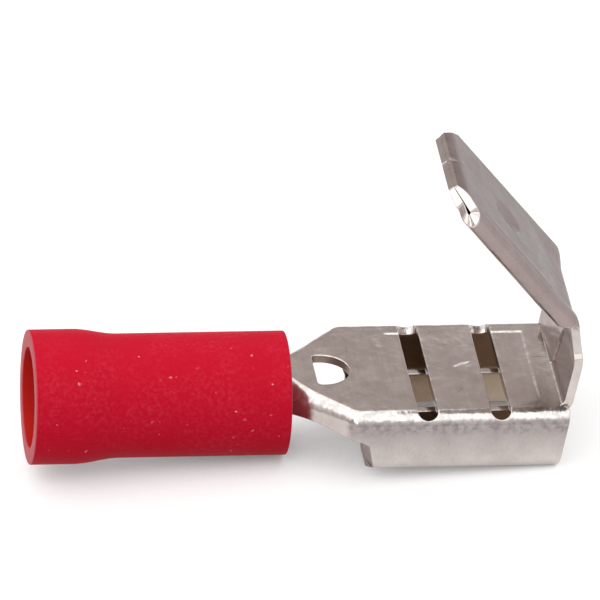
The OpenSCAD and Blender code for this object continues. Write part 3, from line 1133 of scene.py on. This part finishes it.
    def window_outline(self) -> list[Pair]:
        """Outline the D-shaped window on the blank.

        Returns:
            Its corners.
        """
        end = -self.window_set
        radius, soft = self.window_w / 2, self.window_r
        plan = []
        for x, y, r, start, turn, count in (
            (end - radius, 0.0, radius, 90, 180, 24),
            (end - self.window_l + soft, soft - radius, soft, 270, 90, 6),
            (end - self.window_l + soft, radius - soft, soft, 180, 90, 6),
        ):
            for k in range(count + 1):
                angle = math.radians(start - turn * k / count)
                plan.append((x + r * math.cos(angle), y + r * math.sin(angle)))
        points = []
        for a, y in plan:
            corner, _, flat, length = (row[0] for row in self.neck_shape(np.array([1 + a / self.neck_l])))
            run = abs(y) if abs(y) <= flat else flat + corner * math.asin((abs(y) - flat) / corner)
            points.append((a, math.copysign(run / length * self.edge_b, y)))
        return points

    def slot_outline(self, centre: float) -> list[Pair]:
        """Outline one cross slot on the blank.

        Args:
            centre: Where it lies along the blank.

        Returns:
            Its corners, clockwise.
        """
        radius = self.slot_w / 2
        straight = self.bend_y + (self.sheet_t + self.bend_r) * math.radians(self.slot_wrap) - radius
        points = []
        for middle, start in ((straight, 180), (-straight, 0)):
            for k in range(17):
                angle = math.radians(start - 180 * k / 16)
                points.append((centre + radius * math.cos(angle), middle + radius * math.sin(angle)))
        return points

    def outlines(self) -> list[Array]:
        """Outline the blank and its cut-outs.

        Returns:
            The blank's outline, the window's and the two slots', each with the sheet on its left.
        """
        left = self.half_outline(Side.LEFT)
        right = [(a, -b) for a, b in self.half_outline(Side.RIGHT) if b > 1e-6]
        holes = [self.window_outline()]
        holes += [self.slot_outline(self.slot_first + k * self.slot_pitch) for k in range(2)]
        loops = [densify(left[::-1] + right, self.rim_step), *(densify(hole, self.hole_step) for hole in holes)]
        ordered = []
        for k, loop in enumerate(loops):
            after = np.roll(loop, -1, axis=0)
            area = np.sum(loop[:, 0] * after[:, 1] - after[:, 0] * loop[:, 1])
            ordered.append(loop if (area > 0) == (k == 0) else loop[::-1])
        return ordered

    def grid(self) -> Array:
        """Spread points over the blank, closer together where it is bent or pressed.

        Returns:
            Their places on the blank.
        """
        rows = []
        floor = self.rail.stations(*self.floor_steps)
        for low, high, step, limit in (
            (-self.neck_l - self.barrel_l, -self.neck_l, self.barrel_step, self.barrel_b),
            (-self.neck_l, 0.0, self.floor_steps[0], self.edge_b),
            (0.0, self.recept_l, self.floor_steps[0], self.edge_b),
        ):
            across = floor[floor < limit]
            rows.append(lattice(np.arange(low, high, step), np.concatenate([-across[:0:-1], across])))
        wall = self.rail.stations(*self.wall_steps, self.edge_b)
        climb = self.foot_a + self.riser.stations(*self.riser_steps)
        for side in Side:
            rows.append(lattice(np.arange(0.0, self.recept_l, self.wall_along), side.value * wall))
            riser = lattice(climb, side.value * self.wing.stations(*self.wing_steps))
            rows.append(riser[self.on_riser(*riser.T)])
        # Close rows of points follow the groove, the crease, the score and the panel's edges
        short, half, many, wide = self.groove_grid
        to_end = np.linspace(self.groove_l, short, many)
        rows.append(lattice(self.tip_a - to_end, np.linspace(-half, half, wide)))
        climb, offset = lattice(np.arange(*self.crease_rows), self.beside).T
        rows.append(np.column_stack([
            self.foot_a + climb, self.crease_b + self.crease_slope * climb + offset
        ]))
        (along, offset), (cos, sin) = lattice(np.arange(*self.score_rows), self.beside).T, self.score_way
        rows.append(np.column_stack([
            self.catch_set + cos * along - sin * offset, self.score_b + sin * along + cos * offset
        ]))
        ends = (self.panel_set, self.panel_set + self.panel_l)
        edges = (-self.panel_w / 2, self.panel_w / 2)
        many, pitch, step = self.panel_rows
        inset = np.arange(many) * pitch
        for (near, far), span, order in ((ends, edges, 1), (edges, ends, -1)):
            lines = np.concatenate([near + inset, far - inset])
            rows.append(lattice(lines, np.arange(*span, step))[:, ::order])
        return np.unique(np.round(np.concatenate(rows), 6), axis=0)

    def triangulate(self, inner: list[Array]) -> tuple[Array, Array, dict[int, int]]:
        """Cut the flat blank into triangles.

        Args:
            inner: Where the rounding of each cut edge begins on the upper skin.

        Returns:
            Places on the blank, triangles, and the number of each point of the cut edges.
        """
        rim = np.concatenate(inner)
        tree = KDTree(len(rim))
        for k, point in enumerate(rim):
            tree.insert((*point, 0.0), k)
        tree.balance()
        points = self.grid()
        points = points[inside(points, inner)]
        clear = np.array([tree.find((*point, 0.0))[2] > self.rim_clear for point in points])
        points = np.concatenate([rim, points[clear]])
        edges, first = [], 0
        for loop in inner:
            edges += [(first + k, first + (k + 1) % len(loop)) for k in range(len(loop))]
            first += len(loop)
        flat, _, faces, origins, _, _ = delaunay_2d_cdt([Vector(p) for p in points], edges, [], 0, 1e-7)
        flat, faces = np.array([tuple(p) for p in flat]), np.array(faces)
        number = {origin: k for k, many in enumerate(origins) for origin in many}
        return flat, faces[inside(flat[faces].mean(axis=1), inner)], number

    def plating(self, flat: Array, faces: Array) -> list[int]:
        """Choose the finish of both skins, with darker copies of the tin where shade is painted.

        Args:
            flat: Places on the blank.
            faces: Its triangles.

        Returns:
            Material slots of the upper skin's triangles and then of the lower skin's.
        """
        a, b = flat[faces].mean(axis=1).T
        run, rear = np.abs(b), a < self.foot_a
        # Darker copies of the tin paint shade on the riser's inner face, on the hidden inside and on the
        # outside of riser and tab
        riser = np.where(a > self.foot_a + self.inner_from, Plate.INNER, Plate.BRIGHT)
        upper = np.where(rear & (run > self.bottom.end), Plate.STAINED, riser)
        outer = self.on_riser(a, b) & (run < self.tab_w / 2 + self.outer_past)
        lower = np.where(outer, Plate.DULL, np.where(rear, Plate.STAINED, Plate.BRIGHT))
        return [*upper.tolist(), *lower.tolist()]

    def mesh(self) -> bpy.types.Mesh:
        """Triangulate the blank, fold it and close its cut edges.

        Returns:
            The mesh.
        """
        loops = self.outlines()
        outline, window, *_ = loops
        ways = [outward_of(loop) for loop in loops]
        soft = [np.full((len(loop), 1), self.edge_r) for loop in loops]
        # The coined tip is left sharp
        at_tip = smooth((outline[:, :1] - self.tip_a + self.tip_sharp[0]) / self.tip_sharp[1])
        soft[0] = self.edge_r - (self.edge_r - self.tip_r) * at_tip
        flat, faces, number = self.triangulate([loop - r * way for loop, way, r in zip(loops, ways, soft)])
        count, t = len(flat), self.sheet_t
        verts = [self.fold(flat, np.zeros(count)), self.fold(flat, np.full(count, t))]
        polygons = [*faces.tolist(), *(faces[:, ::-1] + count).tolist()]
        slots = self.plating(flat, faces)
        total, first = 2 * count, 0
        near = 1 - math.sqrt(0.5)
        for loop, way, r in zip(loops, ways, soft):
            size = len(loop)
            top = [number[first + k] for k in range(size)]
            rings = [top]
            for inset, depth in ((near * r, near * r), (0 * r, r), (0 * r, t - r), (near * r, t - near * r)):
                verts.append(self.fold(loop - inset * way, depth[:, 0]))
                rings.append(list(range(total, total + size)))
                total += size
            rings.append([count + k for k in top])
            # The rails' rear ends take the darker tin with painted shade, and the straight of the window's edge
            # is sheared bare
            on_rail = np.abs(loop[:, 1]) > self.edge_b + self.rear_margin
            rear_end = (loop is outline) & on_rail & (loop[:, 0] < self.rear_shaded)
            for k, (upper, lower) in enumerate(zip(rings, rings[1:])):
                polygons += [
                    (upper[i], lower[i], lower[i + 1 - size], upper[i + 1 - size]) for i in range(size)
                ]
                plain = Plate.SHEARED if loop is window and k == 2 else Plate.BRIGHT
                slots += np.where(rear_end, Plate.DULL, plain).tolist()
            first += size
        mesh = bpy.data.meshes.new("terminal_sheet")
        mesh.from_pydata(np.concatenate(verts).tolist(), [], polygons)
        mesh.polygons.foreach_set("material_index", slots)
        mesh.validate()
        mesh.shade_smooth()
        self.weigh(mesh)
        return mesh

    @staticmethod
    def weigh(mesh: bpy.types.Mesh) -> None:
        """Shade by area, so that the narrow faces of rounded edges do not tilt the wide ones beside them.

        Args:
            mesh: The mesh to shade.
        """
        count = len(mesh.polygons)
        ways, areas, sizes = np.empty(3 * count), np.empty(count), np.empty(count, dtype=np.int32)
        corners = np.empty(len(mesh.loops), dtype=np.int32)
        mesh.polygons.foreach_get("normal", ways)
        mesh.polygons.foreach_get("area", areas)
        mesh.polygons.foreach_get("loop_total", sizes)
        mesh.loops.foreach_get("vertex_index", corners)
        total = np.zeros((len(mesh.vertices), 3))
        np.add.at(total, corners, np.repeat(ways.reshape(-1, 3) * areas[:, None], sizes, axis=0))
        total /= np.maximum(np.linalg.norm(total, axis=1, keepdims=True), 1e-20)
        mesh.normals_split_custom_set_from_vertices(total.tolist())

    def build(self) -> bpy.types.Object:
        """Make the terminal, dress it and put it in the frame.

        Returns:
            The piece.
        """
        piece = bpy.data.objects.new("terminal_sheet", self.mesh())
        bpy.context.collection.objects.link(piece)
        for state in Plate:
            piece.data.materials.append(self.finishes[state].material())
        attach(piece, "root")
        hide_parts("terminal")
        return piece


@dataclass
class InsulatingSleeve:
    """The red sleeve over the barrel, flared at the wire entry, with cut ends."""

    finishes: dict[Tube, Vinyl]
    length: float = 10.0
    body_od: float = 4.82
    entry_od: float = 5.24
    entry_l: float = 1.7
    taper_l: float = 1.8
    wire_bore: float = 3.9
    barrel_x: float = 3.8
    funnel_l: float = 0.6
    neck_x: float = 9.3
    bore_r: float = 1.27
    front_r: float = 1.32
    front_flat: float = 0.3
    rim_r: float = 0.05
    turns: int = 168

    def rim(self, x: float, radius: float, first: int, last: int) -> list[Pair]:
        """Round an edge of the half section.

        Args:
            x: Where the rounding's centre lies along the axis.
            radius: How far it lies from the axis.
            first: Angle of the first point, in degrees.
            last: Angle of the last point, which is smaller.

        Returns:
            Points of the rounding.
        """
        angles = [math.radians(angle) for angle in range(first, last - 1, -15)]
        return [(x + self.rim_r * math.cos(v), radius + self.rim_r * math.sin(v)) for v in angles]

    def profile(self) -> list[Pair]:
        """Draw the sleeve's half section.

        Returns:
            Distances along the axis and radii, from the bore's mouth outwards and round.
        """
        entry, body, bore = self.entry_od / 2, self.body_od / 2, self.wire_bore / 2
        taper_x, funnel_x = self.entry_l + self.taper_l, self.barrel_x - self.funnel_l
        points = self.rim(self.rim_r, bore + self.rim_r, 270, 180)
        points += self.rim(self.rim_r, entry - self.rim_r, 180, 90)
        points += [(x, entry) for x in np.linspace(self.rim_r, self.entry_l, 25)[1:]]
        for share in np.linspace(0, 1, 25)[1:]:
            fall = (1 - math.cos(math.pi * share)) / 2
            points.append((self.entry_l + self.taper_l * share, entry + (body - entry) * fall))
        points += [(x, body) for x in np.linspace(taper_x, self.length - self.rim_r, 30)[1:]]
        points += self.rim(self.length - self.rim_r, body - self.rim_r, 75, 0)
        points += [(self.length, self.front_r + self.front_flat), (self.length, self.front_r)]
        points += [(self.neck_x, self.bore_r), (self.barrel_x, self.bore_r)]
        points += [(x, bore) for x in np.linspace(funnel_x, self.rim_r, 13)[:-1]]
        return points

    def surface(self, one: Pair, other: Pair) -> Tube:
        """Say which surface a stretch of the half section belongs to.

        Args:
            one: One end of it.
            other: The other end.

        Returns:
            The surface.
        """
        tiny = 1e-6
        (x0, r0), (x1, r1) = one, other
        # The cut ends take the paler cut finish, which reaches onto the front rim's rounding as a painted
        # highlight
        if max(x0, x1) < self.rim_r - tiny or min(x0, x1) > self.length - 0.6 * self.rim_r:
            return Tube.CUT
        return Tube.BORE if max(r0, r1) < self.wire_bore / 2 + tiny else Tube.SKIN

    def mesh(self) -> bpy.types.Mesh:
        """Turn the half section about the axis.

        Returns:
            The mesh.
        """
        points, turns = self.profile(), self.turns
        verts, faces, slots = [], [], []
        for i, (x, radius) in enumerate(points):
            j = (i + 1) % len(points)
            surface = int(self.surface(points[i], points[j]))
            for k in range(turns):
                angle, after = 2 * math.pi * k / turns, (k + 1) % turns
                verts.append((x * MM, radius * math.sin(angle) * MM, radius * math.cos(angle) * MM))
                faces.append((i * turns + k, j * turns + k, j * turns + after, i * turns + after))
                slots.append(surface)
        mesh = bpy.data.meshes.new("vinyl_sleeve")
        mesh.from_pydata(verts, [], faces)
        mesh.polygons.foreach_set("material_index", slots)
        mesh.validate()
        mesh.shade_smooth()
        return mesh

    def build(self) -> bpy.types.Object:
        """Make the sleeve, dress it and put it in the frame.

        Returns:
            The piece.
        """
        piece = bpy.data.objects.new("vinyl_sleeve", self.mesh())
        bpy.context.collection.objects.link(piece)
        for surface in Tube:
            piece.data.materials.append(self.finishes[surface].material())
        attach(piece, "root")
        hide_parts("insulating_sleeve")
        return piece


@dataclass
class Studio:
    """White table that the part lies on, soft light, and the camera at the photograph's angle."""

    paper: WhitePaper
    azimuth: float = -9.1
    elevation: float = 30.2
    roll: float = 3.6
    frame_px: float = 600.0
    px_per_mm: float = 25.85
    centre_right: float = 10.515
    centre_up: float = 3.76
    distance: float = 800.0
    sensor: float = 36.0
    clip: Pair = (0.01, 20.0)
    table_half: float = 900.0
    sleeve_touch: Pair = (10.0, -2.41)
    rail_touch: Pair = (20.32, -1.5)
    room: str = "#fff1ed"
    room_level: float = 0.53
    roof_level: float = 1.65
    roof_aim: Triple = (-0.3, 0.0, 0.954)
    front_level: float = 1.0
    front_aim: Triple = (-0.1, -0.95, 0.3)
    side_level: float = 1.05
    side_aim: Triple = (0.98, 0.0, 0.2)
    key_level: float = 2.0
    key_size: float = 80.0
    key_place: Triple = (-145.0, -104.0, 72.0)
    key_aim: Triple = (10.0, 0.0, 2.0)

    def camera(self) -> None:
        """Set up the camera."""
        a, e, r = (math.radians(v) for v in (self.azimuth, self.elevation, self.roll))
        back = Vector((math.sin(a) * math.cos(e), -math.cos(a) * math.cos(e), math.sin(e)))
        level = Vector((math.cos(a), math.sin(a), 0.0))
        upright = back.cross(level)
        right = level * math.cos(r) + upright * math.sin(r)
        up = upright * math.cos(r) - level * math.sin(r)
        data = bpy.data.cameras.new("camera")
        data.sensor_width = self.sensor
        data.lens = self.sensor * self.distance / (self.frame_px / self.px_per_mm)
        data.clip_start, data.clip_end = self.clip
        camera = bpy.data.objects.new("camera", data)
        bpy.context.collection.objects.link(camera)
        place = (right * self.centre_right + up * self.centre_up + back * self.distance) * MM
        camera.matrix_world = Matrix.Translation(place) @ Matrix((right, up, back)).transposed().to_4x4()
        bpy.context.scene.camera = camera

    def table(self) -> None:
        """Lay the table under the sleeve's front end and the rails' mouth, on which the part rests."""
        (x0, z0), (x1, z1) = self.sleeve_touch, self.rail_touch
        slope = (z1 - z0) / (x1 - x0)
        half = self.table_half
        corners = ((-half, -half), (half, -half), (half, half), (-half, half))
        mesh = bpy.data.meshes.new("table")
        verts = [(x * MM, y * MM, (z0 + slope * (x - x0)) * MM) for x, y in corners]
        mesh.from_pydata(verts, [], [(0, 1, 2, 3)])
        mesh.materials.append(self.paper.material())
        table = bpy.data.objects.new("table", mesh)
        bpy.context.collection.objects.link(table)

    def world(self) -> None:
        """Light the room softly, with broad bright panels overhead, in front and at the mouth's end."""
        world = bpy.data.worlds.new("room")
        bpy.context.scene.world = world
        world.use_nodes = True
        tree = world.node_tree
        tree.nodes.clear()
        way = add(tree, "ShaderNodeTexCoord").outputs["Generated"]
        level = None
        for aim, low, high, top in (
            (self.roof_aim, 0.5, 0.68, self.roof_level),
            (self.front_aim, 0.6, 0.85, self.front_level),
            (self.side_aim, 0.35, 0.65, self.side_level),
        ):
            towards = add(
                tree, "ShaderNodeVectorMath", {"operation": "DOT_PRODUCT"}, {1: aim}, {0: way}
            ).outputs["Value"]
            panel = add(
                tree, "ShaderNodeMapRange", {"interpolation_type": "SMOOTHSTEP"},
                {"From Min": low, "From Max": high, "To Min": self.room_level, "To Max": top},
                {"Value": towards},
            ).outputs[0]
            level = panel if level is None else add(
                tree, "ShaderNodeMath", {"operation": "MAXIMUM"}, links={0: level, 1: panel}
            ).outputs[0]
        # The walls of the room are warm, the panels white
        lit = add(
            tree, "ShaderNodeMapRange", values={"From Min": self.room_level, "From Max": self.front_level},
            links={"Value": level},
        ).outputs[0]
        tint = add(
            tree, "ShaderNodeMix", {"data_type": "RGBA"}, {6: linear(self.room), 7: WHITE}, {0: lit}
        ).outputs[2]
        room = add(tree, "ShaderNodeBackground", links={"Color": tint, "Strength": level})
        add(tree, "ShaderNodeOutputWorld", links={"Surface": room.outputs[0]})

    def lamp(self) -> None:
        """Hang the key lamp, whose level is 1 where its face is as bright as white paper in full light."""
        data = bpy.data.lights.new("key", "AREA")
        data.shape = "RECTANGLE"
        data.size = data.size_y = self.key_size * MM
        data.energy = self.key_level * math.pi * data.size * data.size_y
        lamp = bpy.data.objects.new("key", data)
        bpy.context.collection.objects.link(lamp)
        place = Vector(self.key_place)
        lamp.location = place * MM
        lamp.rotation_euler = (Vector(self.key_aim) - place).to_track_quat("-Z", "Y").to_euler()

    def build(self) -> None:
        """Make the whole studio."""
        self.camera()
        self.table()
        self.world()
        self.lamp()
        bpy.context.scene.view_settings.view_transform = "Standard"


def main() -> None:
    """Build the pieces in order, then the studio, and report each."""
    logging.basicConfig(level=logging.INFO, format="%(name)s: %(message)s")
    plating = {
        # Tin plated on the rolled strip: a soft grey mirror, with a painted white highlight on the crown of its
        # bends
        Plate.BRIGHT: TinPlate("tin_plated_brass", "#cfc7c3", "#bfb6b1", bend_highlight="#e3e0de"),
        # The same tin, darker and dull to its rim as painted shade, on the outside of riser and tab and on the
        # rails' rear ends
        Plate.DULL: TinPlate("shaded_tin_plated_brass", "#a09290", "#938583", edge=0.6),
        # The same tin on the hidden inside: tan as painted shade, and blurred, with painted light paler towards
        # the mouth
        Plate.STAINED: TinPlate(
            "shaded_inside_tin_plated_brass", "#b29b87", "#9f8671", front="#ccb8a6", rough=(0.3, 0.45)
        ),
        # The same tin on the inner face of riser and tab: an even middle grey, darker as painted shade
        Plate.INNER: TinPlate("shaded_riser_tin_plated_brass", "#a69994", "#9a8c87"),
        # Brass sheared through by the punch, with tin smeared over it: warmer and matte
        Plate.SHEARED: TinPlate("sheared_plated_brass", "#b3a298", "#a89589", rough=(0.5, 0.6)),
    }
    vinyl = {
        # Extruded vinyl: deep red and matte, with a pale bloom and dust
        Tube.SKIN: Vinyl("red_vinyl", "#b50a25", "#cf4054", bloom_share=0.45, gloss=0.05),
        # Vinyl cut by a blade: paler, partly because the cut is torn fine and partly as painted light on the
        # end ring and a painted highlight on the front rim
        Tube.CUT: Vinyl("cut_red_vinyl_and_highlight", "#b23f4a", "#c05a64", bloom_share=0.5),
        # Vinyl inside the bore: cleaner, and more orange because light passes through the wall
        Tube.BORE: Vinyl("red_vinyl_bore", "#bf1b16", "#c8402f", bloom_share=0.2, gloss=0.1),
    }
    for maker in (FoldedTerminal(plating), InsulatingSleeve(vinyl)):
        piece = maker.build()
        log.info("%s: %d faces", piece.name, len(piece.data.polygons))
    Studio(WhitePaper()).build()
    log.info("studio: camera, table, lamp and room")


if __name__ == "__main__":
    main()
